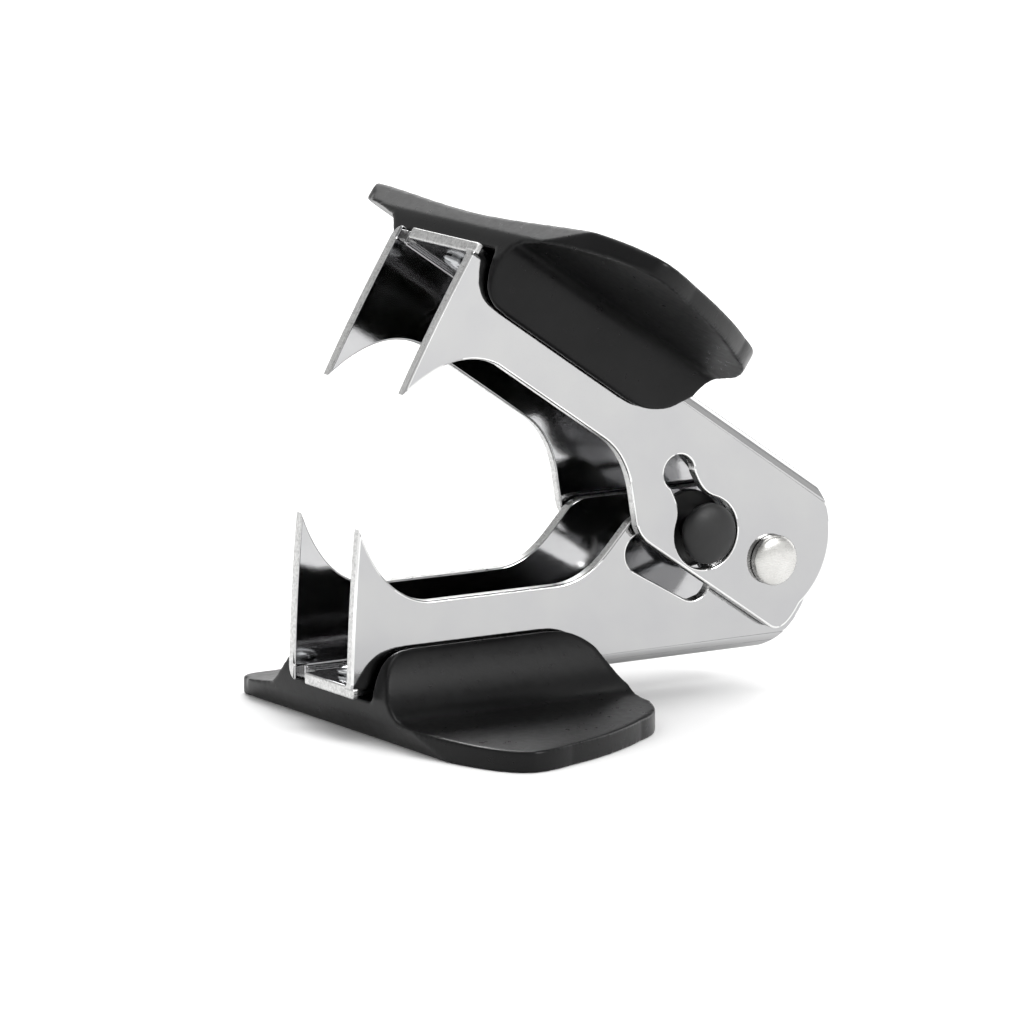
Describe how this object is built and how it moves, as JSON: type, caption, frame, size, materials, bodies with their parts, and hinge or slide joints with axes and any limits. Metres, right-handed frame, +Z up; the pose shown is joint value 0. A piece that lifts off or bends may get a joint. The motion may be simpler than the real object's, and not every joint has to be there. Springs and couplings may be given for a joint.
{
  "type": "staple remover",
  "caption": "Jaw staple remover: two sprung steel channel jaws with pointed teeth on a rivet, black plastic finger grips and a sliding lock button",
  "frame": {"origin": "the bottom centre of the bounding box, on the flat outer face of the lower grip", "axes": "+Z up, from the lower grip to the upper one; -X to the teeth, +X to the pivot; +Y across the jaws, away from the lock button"},
  "size_m": [0.051, 0.0462, 0.0469],
  "materials": {
    "chrome_steel": "bright nickel-chrome plated sheet steel, near-mirror, bright cut edges",
    "rivet_steel": "pearly nickel plating, softly satin",
    "spring_steel": "bright drawn spring wire",
    "black_grip": "satin black moulded plastic with soft highlights",
    "black_button": "matte black moulded plastic"
  },
  "bodies": {
    "inner_jaw": {"lower_jaw": "chrome_steel", "lower_grip": "black_grip", "lower_grip_rivet_front": "rivet_steel", "lower_grip_rivet_rear": "rivet_steel", "pivot_rivet": "rivet_steel", "torsion_spring": "spring_steel"},
    "outer_jaw": {"upper_jaw": "chrome_steel", "upper_grip": "black_grip", "upper_grip_rivet_front": "rivet_steel", "upper_grip_rivet_rear": "rivet_steel"},
    "lock": {"lock_button": "black_button", "lock_button_retainer": "black_button"}
  },
  "joints": [
    {"name": "jaw_closing", "type": "hinge", "parent": "inner_jaw", "child": "outer_jaw", "pos_m": [0.019, 0.00266, 0.0126], "axis": [0, -1, 0], "range_deg": [0, 34], "stiffness_Nm_per_rad": 0.25, "springref_deg": -20.05, "deforming": ["torsion_spring"]},
    {"name": "lock_slide", "type": "slide", "parent": "outer_jaw", "child": "lock", "axis": [-0.4439, 0, 0.8961], "range_m": [0, 0.0062]}
  ]
}
